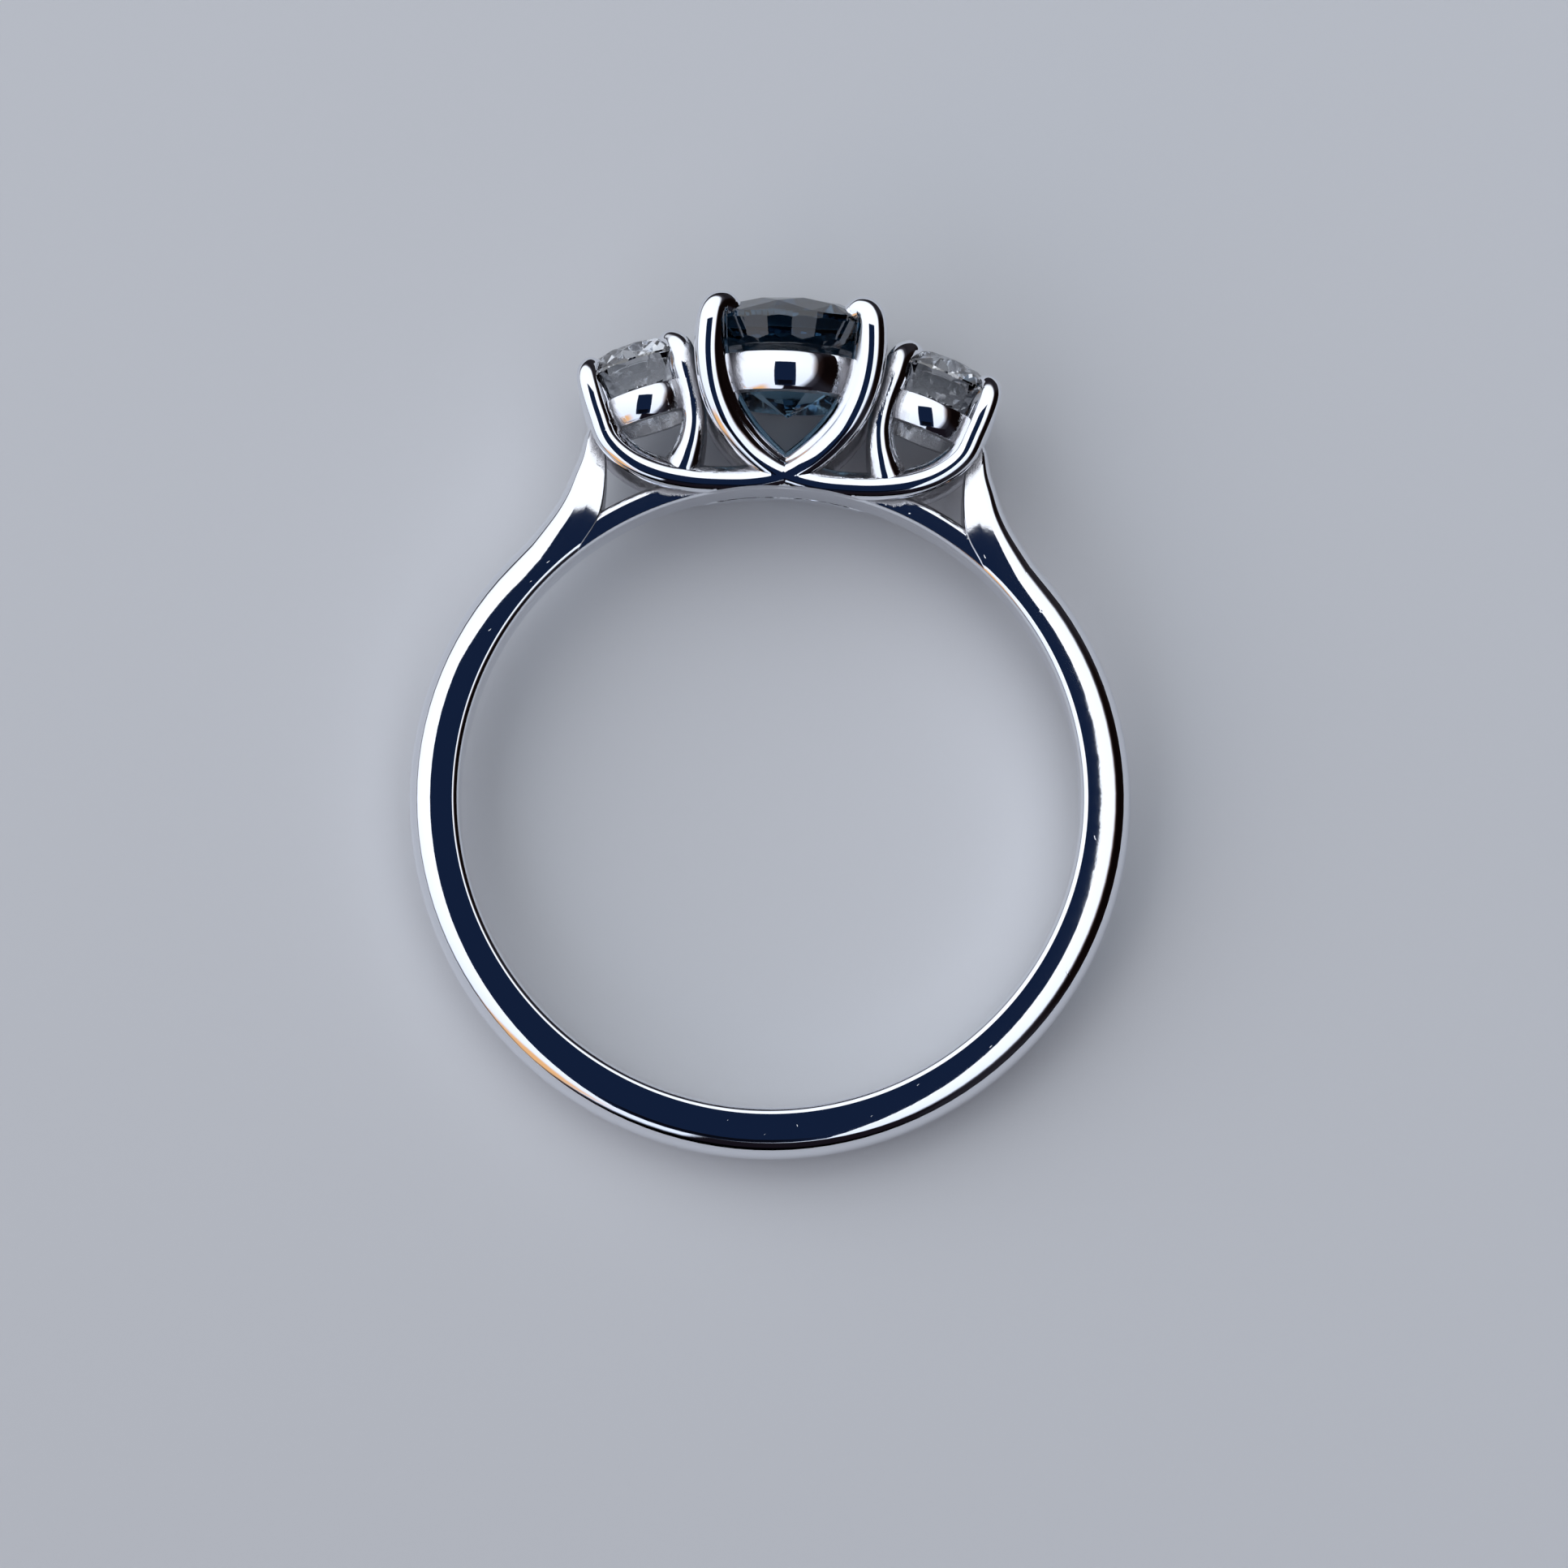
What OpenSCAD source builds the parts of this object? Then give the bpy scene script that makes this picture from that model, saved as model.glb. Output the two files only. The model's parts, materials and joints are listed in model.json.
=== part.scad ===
// A three-stone ring. Crossing strands carry a round sapphire between two round diamonds,
// and raised shoulders tie the three heads to a D-section shank. The ring lies on its side as it
// would by itself: the hole's centre is the origin, the stones point along +Y, and the finger's
// axis leans from +Z by the tilt that the deep centre head gives it.

/* [Finger hole and shank] */
// Diameter of the finger hole
hole_d = 16.5; // [15.5:0.1:18]
// Width of the shank along the finger
shank_w = 1.8; // [1.6:0.1:1.9]
// Thickness of the shank at its sides and bottom
shank_t = 1.35; // [1.2:0.05:1.6]
// Thickness of the shank just below the shoulders
neck_t = 1.2; // [1:0.05:1.3]
// Radius of the dome on the shank's outside
dome_r = 1.0; // [1:0.05:1.2]
// Easing of the edges of the finger hole
hole_edge = 0.2; // [0.1:0.05:0.25]
// Thickness of the bridge that closes the hole under the stones
bridge_t = 0.6; // [0.5:0.05:0.7]

/* [Sapphire] */
// Diameter of the sapphire
sapphire_d = 5.1; // [4.8:0.05:5.2]
// Height of its girdle above the top of the finger hole
sapphire_rise = 4.44; // [4.4:0.02:4.6]
// Height of its crown
sapphire_crown = 0.53; // [0.45:0.02:0.61]
// Depth of its pavilion
sapphire_pavilion = 2.35; // [2.2:0.05:2.45]
// Thickness of its girdle
sapphire_girdle = 0.16; // [0.1:0.02:0.2]

/* [Diamonds] */
// Diameter of each diamond
diamond_d = 3.3; // [3.1:0.05:3.4]
// Outward lean of the side heads
side_lean = 20; // [18:1:22]
// Distance of each diamond's girdle centre from the middle
side_across = 4.1; // [4:0.05:4.15]
// Height of that centre above the top of the finger hole
side_rise = 3.2; // [3.15:0.05:3.3]

/* [Setting] */
// Thickness factor of all strands and claws
strand_k = 1.0; // [0.9:0.05:1.1]
// Outer radius of the rail under the sapphire
rail_r = 2.3; // [2.2:0.05:2.4]
// Outer radius of the rails under the diamonds
side_rail_r = 1.6; // [1.5:0.05:1.65]
// Clearance between a stone and its seat
seat_gap = 0.03; // [0.02:0.01:0.05]

/* [Hidden] */
$fn = 96;

hole_r = hole_d / 2;
shank_r = hole_r + shank_t;
face_z = shank_w / 2;
// Where the shank's flat side meets its dome, measured from the hole's centre
corner_r = shank_r - dome_r + sqrt(dome_r * dome_r - face_z * face_z);

// The neck's arc has its centre on the X axis, so that it leaves the shank's outside in line with it.
// It ends at an angle from the top, and runs on inside the shoulder by a few degrees.
neck_angle = 47;
neck_overlap = 8;
neck_shift = (shank_t - neck_t) / (1 - sin(neck_angle));
// How far the sections of the shank and the bridge reach into the hole before it is cut
hole_spare = 0.4;

sapphire_r = sapphire_d / 2;
diamond_r = diamond_d / 2;
diamond_girdle = 0.1;
girdle_sides = 16;

// Each rail is a ring under a stone: depths of its top and bottom below the girdle, and its wall.
rail_top = 0.98;
rail_bottom = 2.0;
rail_wall = 0.35;
side_rail_top = 0.8;
side_rail_bottom = 1.6;
side_rail_wall = 0.3;

// The ring rests on the sapphire's girdle, where one of its flats faces down, and on the corner
// between the shank's side and its dome.
girdle_low_y = hole_r + sapphire_rise - sapphire_girdle / 2;
girdle_low_z = sapphire_r * cos(180 / girdle_sides);
rest_tilt = atan2(girdle_low_z - face_z, girdle_low_y + corner_r);

// Strand from a claw of the sapphire, down over the crossing in the middle and up to the outer
// claw of the diamond on the other side. Columns: across, height above the top of the hole, out
// along the finger, radius, how far the inner back edge swells.
STRAND = [
    [-1.62, 4.62, 1.82, 0.23, 0.0],
    [-1.82, 4.69, 1.90, 0.28, 0.0],
    [-2.01, 4.57, 1.96, 0.32, 0.1],
    [-2.10, 4.20, 1.98, 0.34, 0.3],
    [-2.11, 3.40, 1.91, 0.34, 0.6],
    [-1.96, 2.58, 1.75, 0.34, 0.9],
    [-1.65, 1.86, 1.54, 0.34, 1.0],
    [-1.20, 1.26, 1.31, 0.33, 1.1],
    [-0.64, 0.75, 1.13, 0.31, 1.2],
    [0.00, 0.38, 1.05, 0.29, 1.0],
    [0.85, 0.18, 1.02, 0.29, 0.6],
    [1.70, 0.13, 1.00, 0.29, 0.4],
    [2.55, 0.15, 1.02, 0.30, 0.4],
    [3.37, 0.28, 1.06, 0.30, 0.5],
    [4.12, 0.58, 1.10, 0.29, 0.6],
    [4.69, 1.06, 1.15, 0.28, 0.7],
    [4.98, 1.70, 1.20, 0.28, 0.7],
    [5.20, 2.30, 1.24, 0.28, 0.6],
    [5.31, 2.70, 1.22, 0.27, 0.4],
    [5.29, 2.94, 1.11, 0.24, 0.1],
    [5.13, 3.02, 0.96, 0.17, 0.0]
];

// Inner claw of a diamond, from its tip to its foot on the strand. Same columns.
INNER_CLAW = [
    [3.38, 3.74, 0.88, 0.19, 0.0],
    [3.18, 3.77, 1.05, 0.26, 0.1],
    [2.98, 3.55, 1.19, 0.30, 0.3],
    [2.83, 3.12, 1.25, 0.31, 0.4],
    [2.62, 2.45, 1.23, 0.28, 0.4],
    [2.50, 1.75, 1.19, 0.27, 0.3],
    [2.54, 1.20, 1.12, 0.29, 0.3],
    [2.65, 0.78, 1.02, 0.35, 0.3],
    [2.78, 0.45, 0.88, 0.43, 0.2]
];

// Shoulder at the right, from inside the shank to its tip beside the outer claws.
// Columns: inner edge across and above the hole, outer edge across and above the hole, half width.
SHOULDER = [
    [6.74, -2.99, 7.36, -2.50, 0.80],
    [6.45, -2.64, 7.07, -2.10, 0.86],
    [6.15, -2.31, 6.83, -1.70, 0.89],
    [5.83, -2.00, 6.50, -1.25, 0.90],
    [5.38, -1.60, 6.15, -0.74, 0.90],
    [4.95, -1.15, 5.90, -0.27, 0.89],
    [4.80, -0.55, 5.71, 0.23, 0.87],
    [4.78, 0.30, 5.53, 0.71, 0.83],
    [4.86, 1.10, 5.40, 1.24, 0.74],
    [4.99, 1.54, 5.25, 1.58, 0.60]
];

// Smooth curve through the rows of a table, with a number of steps from one row to the next
function blend(a, b, c, d, t) =
    (2 * b + (c - a) * t + (2 * a - 5 * b + 4 * c - d) * t * t + (3 * b - a - 3 * c + d) * t * t * t) / 2;
function smooth(rows, steps) = [
    for (i = [0 : len(rows) - 2])
        for (k = [0 : steps - 1])
            blend(rows[max(i - 1, 0)], rows[i], rows[i + 1], rows[min(i + 2, len(rows) - 1)], k / steps),
    rows[len(rows) - 1]
];
function unit(v) = v / norm(v);

// Ring of points round a strand's row. The section is round, with a swelling at its inner back edge
// and a keel along its outer edge.
strand_sides = 10;
swell_angle = -42;
keel = 0.3;
keel_angle = 172;
function strand_ring(row, along) =
    let (
        inward = unit(cross([0, 0, 1], along)),
        outward = cross(along, inward),
        centre = [row[0], hole_r + row[1], row[2]]
    )
    [for (k = [0 : strand_sides - 1])
        let (
            angle = 360 * k / strand_sides,
            swell = row[4] * pow(max(cos(angle - swell_angle), 0), 2),
            r = row[3] * strand_k * (1 + swell + keel * pow(max(cos(angle - keel_angle), 0), 2))
        )
        centre + r * (cos(angle) * inward + sin(angle) * outward)];
function place(row) = [row[0], row[1], row[2]];
function strand_rings(rows) = [
    for (i = [0 : len(rows) - 1])
        strand_ring(rows[i], unit(place(rows[min(i + 1, len(rows) - 1)]) - place(rows[max(i - 1, 0)])))
];

// Closed skin over a list of rings that all have the same number of points
module skin(rings) {
    n = len(rings[0]);
    last = len(rings) - 1;
    sides = [
        for (i = [0 : last - 1])
            for (k = [0 : n - 1])
                let (a = i * n + k, b = i * n + (k + 1) % n)
                each [[a, b + n, b], [a, a + n, b + n]]
    ];
    ends = [[for (k = [0 : n - 1]) k], [for (k = [n - 1 : -1 : 0]) last * n + k]];
    polyhedron([for (ring = rings) each ring], concat(sides, ends));
}

module both_sides() {
    children();
    mirror([1, 0, 0]) children();
}

module both_faces() {
    children();
    mirror([0, 0, 1]) children();
}

// Front and back are the same when the ring is turned half round about the line through the stones.
module front_and_back() {
    children();
    rotate([0, 180, 0]) children();
}

// D section, its flat sides at the shank's width and its dome outside. The hole is cut later.
module shank_section(reach) {
    inner = hole_r - hole_spare;
    intersection() {
        translate([reach - dome_r, 0]) circle(dome_r);
        translate([reach - dome_r, -face_z]) square([dome_r, shank_w]);
    }
    translate([inner, -face_z]) square([reach - shank_r + corner_r - inner, shank_w]);
}

module shank() {
    rotate([0, 0, 180]) rotate_extrude(angle = 180) shank_section(shank_r);
    both_sides() translate([neck_shift, 0, 0])
        rotate_extrude(angle = 90 - neck_angle + neck_overlap)
            translate([-neck_shift, 0]) shank_section(shank_r);
}

// What the eased edges of the hole take away from the shank and the bridge
module hole_edges() {
    over = 0.3;
    both_faces() rotate_extrude() polygon([
        [hole_r - 1, face_z - hole_edge - 1],
        [hole_r + hole_edge + over, face_z + over],
        [hole_r - 1, face_z + over]
    ]);
}

// Its faces lie a little inside the shank's.
bridge_step = 0.05;
module bridge() {
    w = shank_w - 2 * bridge_step;
    rotate([0, 0, 90 - neck_angle]) rotate_extrude(angle = 2 * neck_angle)
        translate([hole_r - hole_spare, -w / 2]) square([bridge_t + hole_spare, w]);
}

// Metal that fills the corner between the bridge and the sweep of a strand
web_w = 1.4;
module bridge_web() {
    both_sides() linear_extrude(web_w, center = true) translate([0, hole_r]) polygon([
        [2.2, -0.15],
        [3.4, -0.5],
        [3.45, 0.12],
        [2.2, 0.3]
    ]);
}

// Ring of a shoulder: flat sides, a dome outside and a narrow flat inside
function shoulder_ring(row) =
    let (
        inner = [row[0], hole_r + row[1], 0],
        span = [row[2], hole_r + row[3], 0] - inner,
        z = row[4]
    )
    [for (p = [[0, 0.85], [0.1, 1], [0.6, 1], [0.8, 0.82], [0.94, 0.48], [1, 0],
        [0.94, -0.48], [0.8, -0.82], [0.6, -1], [0.1, -1], [0, -0.85]])
        inner + span * p[0] + [0, 0, z * p[1]]];

module shoulder() {
    skin([for (row = smooth(SHOULDER, 2)) shoulder_ring(row)]);
}

module strands() {
    front_and_back() both_sides() {
        skin(strand_rings(smooth(STRAND, 2)));
        skin(strand_rings(smooth(INNER_CLAW, 2)));
    }
}

// Rail under a stone, between two depths below the girdle. Its outside is bowed and leans in below.
module rail(outer, wall, top, bottom) {
    h = bottom - top;
    bow = [[0.03, 0], [0, 0.3], [0.05, 0.67], [0.19, 1]];
    rotate_extrude() polygon(concat(
        [for (p = bow) [outer - p[0] * h, -top - p[1] * h]],
        [[outer - 0.19 * h - wall, -bottom], [outer - wall, -top]]
    ));
}

module at_centre_head() {
    translate([0, hole_r + sapphire_rise, 0]) rotate([-90, 0, 0]) children();
}

module at_side_head(side) {
    translate([side * side_across, hole_r + side_rise, 0])
        rotate([0, 0, -side * side_lean]) rotate([-90, 0, 0]) children();
}

// A stone is its diameter, its crown's height, its pavilion's depth, its girdle's thickness, its
// table's share of the diameter, and the belly of its pavilion: shares of the girdle's radius and
// of the depth.
SAPPHIRE = [sapphire_d, sapphire_crown, sapphire_pavilion, sapphire_girdle, 0.58, 0.83, 0.35];
DIAMOND = [diamond_d, 0.48, 1.4, diamond_girdle, 0.57, 0.9, 0.1];

// Heights of the table and the culet, and where the crown's mains and stars meet
function table_r(stone) = stone[0] / 2 * stone[4];
function table_z(stone) = stone[3] / 2 + stone[1];
function culet_z(stone) = -stone[3] / 2 - stone[2];
function star_r(stone) = (table_r(stone) + stone[0] / 2) / 2;
function star_z(stone) =
    let (r = stone[0] / 2)
    stone[3] / 2 + stone[1] * (r - star_r(stone) * cos(360 / girdle_sides)) / (r - table_r(stone));

// Space that a stone and the clearance round it take out of the claws
module seat(stone) {
    r = stone[0] / 2;
    g = seat_gap;
    edge_z = stone[3] / 2 + g;
    rotate_extrude() polygon([
        [0, table_z(stone) + g],
        [table_r(stone) + g, table_z(stone) + g],
        [star_r(stone) + g, star_z(stone) + g],
        [r + g, edge_z],
        [r + g, -edge_z],
        [r * stone[5] + g, culet_z(stone) * stone[6] - g],
        [0, culet_z(stone) - 2 * g]
    ]);
}

function round_at(r, z, count, turn) = [
    for (k = [0 : count - 1])
        let (a = 360 * k / count + turn) [r * cos(a), r * sin(a), z]
];

// Round brilliant with its girdle's centre at the origin and its table towards +Z
module brilliant(stone) {
    n = girdle_sides;
    m = n / 2;
    half = 360 / n;
    turn = half / 2;
    r = stone[0] / 2;
    edge_z = stone[3] / 2;
    low = culet_z(stone);
    belly_r = r * stone[5];
    belly_z = low * stone[6];
    main_r = belly_r * 0.28;
    main_z = low + (belly_z - low) * main_r * cos(half) / belly_r;
    points = concat(
        round_at(table_r(stone), table_z(stone), m, turn),
        round_at(star_r(stone), star_z(stone), m, turn + half),
        round_at(r, edge_z, n, turn),
        round_at(r, -edge_z, n, turn),
        round_at(belly_r, belly_z, n, turn),
        round_at(main_r, main_z, m, turn + half),
        [[0, 0, low]]
    );
    // Where each round of points starts in the list
    star = m;
    upper = 2 * m;
    lower = upper + n;
    belly = lower + n;
    main = belly + n;
    culet = main + m;
    crown = [
        for (j = [0 : m - 1])
            let (
                next = (j + 1) % m,
                before = (j + m - 1) % m,
                u = upper + 2 * j,
                v = upper + (2 * j + 1) % n,
                w = upper + (2 * j + 2) % n
            )
            each [
                [j, next, star + j],
                [j, star + j, u, star + before],
                [star + j, v, u],
                [star + j, w, v]
            ]
    ];
    bands = [
        for (start = [upper, lower])
            for (k = [0 : n - 1])
                let (a = start + k, b = start + (k + 1) % n)
                [a, b, b + n, a + n]
    ];
    pavilion = [
        for (j = [0 : m - 1])
            let (
                before = (j + m - 1) % m,
                u = belly + 2 * j,
                v = belly + (2 * j + 1) % n,
                w = belly + (2 * j + 2) % n
            )
            each [
                [main + j, u, v],
                [main + j, v, w],
                [culet, main + before, u, main + j]
            ]
    ];
    polyhedron(points, concat([[for (j = [m - 1 : -1 : 0]) j]], crown, bands, pavilion));
}

module rails() {
    at_centre_head() rail(rail_r, rail_wall, rail_top, rail_bottom);
    for (side = [-1, 1])
        at_side_head(side) rail(side_rail_r, side_rail_wall, side_rail_top, side_rail_bottom);
}

module band_and_setting() {
    color("gainsboro") rotate([rest_tilt, 0, 0]) difference() {
        union() {
            difference() {
                union() {
                    shank();
                    bridge();
                    bridge_web();
                }
                hole_edges();
            }
            both_sides() shoulder();
            strands();
            rails();
        }
        cylinder(r = hole_r, h = 8, center = true);
        at_centre_head() seat(SAPPHIRE);
        for (side = [-1, 1]) at_side_head(side) seat(DIAMOND);
    }
}

module centre_sapphire() {
    color("midnightblue") rotate([rest_tilt, 0, 0]) at_centre_head() brilliant(SAPPHIRE);
}

module side_diamond(side) {
    color("aliceblue", 0.7) rotate([rest_tilt, 0, 0]) at_side_head(side) brilliant(DIAMOND);
}

module left_diamond() {
    side_diamond(-1);
}

module right_diamond() {
    side_diamond(1);
}

band_and_setting();
centre_sapphire();
left_diamond();
right_diamond();
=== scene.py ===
"""Looks of a three-stone ring in polished white gold, with a sapphire between two diamonds."""

import json
import math

import bmesh
import bpy
from mathutils import Matrix, Vector
from mathutils.bvhtree import BVHTree


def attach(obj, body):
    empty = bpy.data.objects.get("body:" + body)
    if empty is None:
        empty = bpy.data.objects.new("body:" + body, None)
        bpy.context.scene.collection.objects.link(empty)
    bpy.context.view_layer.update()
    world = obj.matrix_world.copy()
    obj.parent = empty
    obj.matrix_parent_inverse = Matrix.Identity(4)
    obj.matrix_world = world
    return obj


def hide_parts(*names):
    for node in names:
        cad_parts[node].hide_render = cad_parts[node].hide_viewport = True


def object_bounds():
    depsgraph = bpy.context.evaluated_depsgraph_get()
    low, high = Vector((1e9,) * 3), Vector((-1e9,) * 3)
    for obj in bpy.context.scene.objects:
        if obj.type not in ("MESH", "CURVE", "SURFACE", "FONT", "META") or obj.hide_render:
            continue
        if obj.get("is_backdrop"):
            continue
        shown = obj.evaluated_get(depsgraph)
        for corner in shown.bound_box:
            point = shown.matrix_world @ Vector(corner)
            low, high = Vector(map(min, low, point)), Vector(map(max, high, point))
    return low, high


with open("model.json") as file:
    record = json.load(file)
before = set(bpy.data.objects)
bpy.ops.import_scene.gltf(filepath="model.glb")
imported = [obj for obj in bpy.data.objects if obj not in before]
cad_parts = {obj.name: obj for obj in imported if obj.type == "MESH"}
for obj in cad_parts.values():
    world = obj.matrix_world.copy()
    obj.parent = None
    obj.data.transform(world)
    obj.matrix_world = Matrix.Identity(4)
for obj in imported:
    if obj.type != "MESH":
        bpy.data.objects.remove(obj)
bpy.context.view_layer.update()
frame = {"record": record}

# The ring's own frame: millimetres, the finger's axis along Z and the stones towards +Y.
# The row frame leans it by the tilt at which the ring rests.
MM = 0.001
MICRON = 0.001 * MM
BORE = frame["record"]["mounts"][0]
HOLE_R = BORE["dims"]["r_mm"]
REST = Vector((0, 0, 1)).rotation_difference(Vector(BORE["axis"])).to_matrix().to_4x4()
TO_ROW = REST @ Matrix.Scale(MM, 4)

# Shank: outer radius at its sides and bottom, half its width along the finger, and how far the
# round outside reaches in from the outer edge
SHANK_R = 9.6
FACE_Z = 0.9
DOME_DEPTH = 1.18
# Outer radius just below the shoulders, at an angle in degrees from the top
NECK_R = 9.45
NECK_ANGLE = 47
# Angles in degrees from one station of the shank to the next, from its first below a shoulder
SHANK_START = 51
SHANK_STEP = 3
# How far the sections reach into the finger hole before it is cut, and the easing of its edges
HOLE_SPARE = 0.35
HOLE_EDGE_R = 0.2
HOLE_STEPS = 300
# Bridge: outer radius, half its span in degrees, and the step of its faces inside the shank's
BRIDGE_R = HOLE_R + 0.62
BRIDGE_ANGLE = 47
BRIDGE_STEP = 0.05

# Stones
SAPPHIRE_R = 2.55
SAPPHIRE_RISE = 4.44
SAPPHIRE_GIRDLE = 0.16
DIAMOND_R = 1.65
SIDE_LEAN = 20
SIDE_ACROSS = 4.1
SIDE_RISE = 3.2
DIAMOND_GIRDLE = 0.1
SEAT_GAP = 0.02
# Gallery rails: outer radius, wall, and depths of the top and the bottom below the girdle
RAIL = (2.3, 0.35, 0.98, 2.0)
SIDE_RAIL = (1.6, 0.3, 0.8, 1.6)

# Strand from a claw of the sapphire, over the crossing and up to the outer claw of the diamond on
# the other side. Columns: across, height above the top of the hole, out along the finger, radius,
# and how far the inner back edge swells.
STRAND = [
    (-1.62, 4.62, 1.82, 0.23, 0.0),
    (-1.82, 4.69, 1.90, 0.28, 0.0),
    (-2.01, 4.57, 1.96, 0.32, 0.1),
    (-2.10, 4.20, 1.98, 0.34, 0.3),
    (-2.11, 3.40, 1.91, 0.34, 0.6),
    (-1.96, 2.58, 1.75, 0.34, 0.9),
    (-1.65, 1.86, 1.54, 0.34, 1.0),
    (-1.20, 1.26, 1.31, 0.33, 1.1),
    (-0.64, 0.75, 1.13, 0.31, 1.2),
    (0.00, 0.38, 1.05, 0.29, 1.0),
    (0.85, 0.18, 1.02, 0.29, 0.6),
    (1.70, 0.13, 1.00, 0.29, 0.4),
    (2.55, 0.15, 1.02, 0.30, 0.4),
    (3.37, 0.28, 1.06, 0.30, 0.5),
    (4.12, 0.58, 1.10, 0.29, 0.6),
    (4.69, 1.06, 1.15, 0.28, 0.7),
    (4.98, 1.70, 1.20, 0.28, 0.7),
    (5.20, 2.30, 1.24, 0.28, 0.6),
    (5.31, 2.70, 1.22, 0.27, 0.4),
    (5.29, 2.94, 1.11, 0.24, 0.1),
    (5.13, 3.02, 0.96, 0.17, 0.0),
]
# How much further the outer edge of the section reaches than a circle would, and the angles of
# that edge and of the swelling
KEEL = 0.3
KEEL_ANGLE = math.radians(172)
LOBE_ANGLE = math.radians(-42)
STRAND_SIDES = 40
# Stations from one row of the tables to the next
STRAND_STEPS = 9
CLAW_STEPS = 8
SHOULDER_STEPS = 5

# Inner claw of a diamond, from its tip to its foot on the strand. Same columns.
INNER_CLAW = [
    (3.38, 3.74, 0.88, 0.19, 0.0),
    (3.18, 3.77, 1.05, 0.26, 0.1),
    (2.98, 3.55, 1.19, 0.30, 0.3),
    (2.83, 3.12, 1.25, 0.31, 0.4),
    (2.62, 2.45, 1.23, 0.28, 0.4),
    (2.50, 1.75, 1.19, 0.27, 0.3),
    (2.54, 1.20, 1.12, 0.29, 0.3),
    (2.65, 0.78, 1.02, 0.35, 0.3),
    (2.78, 0.45, 0.88, 0.43, 0.2),
]

# Right shoulder from its tip down to the shank. Columns: inner edge across and above the hole,
# outer edge across and above the hole, depth of the dome, half width.
SHOULDER = [
    (4.99, 1.54, 5.25, 1.58, 0.18, 0.60),
    (4.86, 1.10, 5.40, 1.24, 0.34, 0.74),
    (4.78, 0.30, 5.53, 0.71, 0.55, 0.83),
    (4.80, -0.55, 5.71, 0.23, 0.70, 0.87),
    (4.95, -1.15, 5.90, -0.27, 0.82, 0.89),
    (5.30, -1.75, 6.15, -0.74, 0.93, 0.90),
    (5.62, -2.30, 6.50, -1.25, 1.03, 0.90),
    (5.86, -2.75, 6.83, -1.70, 1.10, 0.90),
]

# Edges of the metal sharper than this many degrees stay creased, and points closer than this many
# millimetres are one
CREASE = 32
CLOSE = 0.0005


def blend(a, b, c, d, t):
    """Point at t between b and c on the smooth curve through a, b, c and d."""
    return tuple(
        (2 * q + (r - p) * t + (2 * p - 5 * q + 4 * r - s) * t**2 + (3 * q - p - 3 * r + s) * t**3) / 2
        for p, q, r, s in zip(a, b, c, d)
    )


def smooth(rows, steps):
    """Rows of a table with more rows blended in between."""
    padded = [rows[0], *rows, rows[-1]]
    fine = [blend(*padded[i : i + 4], k / steps) for i in range(len(rows) - 1) for k in range(steps)]
    return [*fine, rows[-1]]


def loft(bm, stations, count, place):
    """Closed body made by extruding a ring of edges from station to station.

    place(station, number) says where the ring's numbered points go."""
    number = bm.verts.layers.int.new("number")
    ring = bmesh.ops.create_circle(bm, segments=count, radius=1.0)["verts"]
    edges = bm.edges[:]
    for i, vert in enumerate(ring):
        vert[number] = i
        vert.co = place(stations[0], i)
    bmesh.ops.contextual_create(bm, geom=edges)
    for station in stations[1:]:
        made = bmesh.ops.extrude_edge_only(bm, edges=edges)["geom"]
        ring = {g for g in made if isinstance(g, bmesh.types.BMVert)}
        edges = [g for g in made if isinstance(g, bmesh.types.BMEdge) and ring.issuperset(g.verts)]
        for vert in ring:
            vert.co = place(station, vert[number])
    bmesh.ops.contextual_create(bm, geom=edges)
    bmesh.ops.recalc_face_normals(bm, faces=bm.faces)


def lathe(bm, profile, steps):
    """Ring made by turning a closed profile of (radius, height) points once round Z."""
    verts = [bm.verts.new((r, 0, z)) for r, z in profile]
    edges = [bm.edges.new((a, b)) for a, b in zip(verts, verts[1:] + verts[:1])]
    bmesh.ops.spin(
        bm, geom=verts + edges, axis=(0, 0, 1), cent=(0, 0, 0), angle=math.tau, steps=steps, use_merge=True
    )
    bmesh.ops.recalc_face_normals(bm, faces=bm.faces)


def part(name, build, *places):
    """Object in the ring's frame with what build makes, once at each place."""
    whole = bmesh.new()
    for place in places or (Matrix(),):
        bm = bmesh.new()
        build(bm)
        bmesh.ops.transform(bm, matrix=place, verts=bm.verts)
        if place.determinant() < 0:
            bmesh.ops.reverse_faces(bm, faces=bm.faces)
        mesh = bpy.data.meshes.new(name)
        bm.to_mesh(mesh)
        bm.free()
        whole.from_mesh(mesh)
        bpy.data.meshes.remove(mesh)
    mesh = bpy.data.meshes.new(name)
    whole.to_mesh(mesh)
    whole.free()
    piece = bpy.data.objects.new(name, mesh)
    bpy.context.scene.collection.objects.link(piece)
    return piece


MIRROR_X = Matrix.Diagonal((-1, 1, 1, 1))
HALF_TURN = Matrix.Rotation(math.pi, 4, "Y")


def arc(centre, radius, start, end, steps):
    """Points on an arc, with its angles in degrees."""
    angles = [math.radians(start + (end - start) * k / steps) for k in range(steps + 1)]
    return [(centre[0] + radius * math.cos(a), centre[1] + radius * math.sin(a)) for a in angles]


def d_section():
    """Half-round section from its inner edge (0) over the end of the flat side (1) to the crest (2).

    Each point also has its share of the half width. The side rolls over into the crest by a
    superellipse, so a polished shank has no corner there."""
    side = [(0, 0.9), (0.04, 0.97), (0.1, 1.0), (0.5, 1.0), (0.93, 1.0)]
    turns = [math.radians(90 - 90 * k / 22) for k in range(23)]
    roll = [(1 + math.cos(a) ** (2 / 4.8), math.sin(a) ** (2 / 2.2)) for a in turns]
    half = side + roll
    return half + [(w, -z) for w, z in reversed(half[:-1])]


D_SECTION = d_section()


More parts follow.
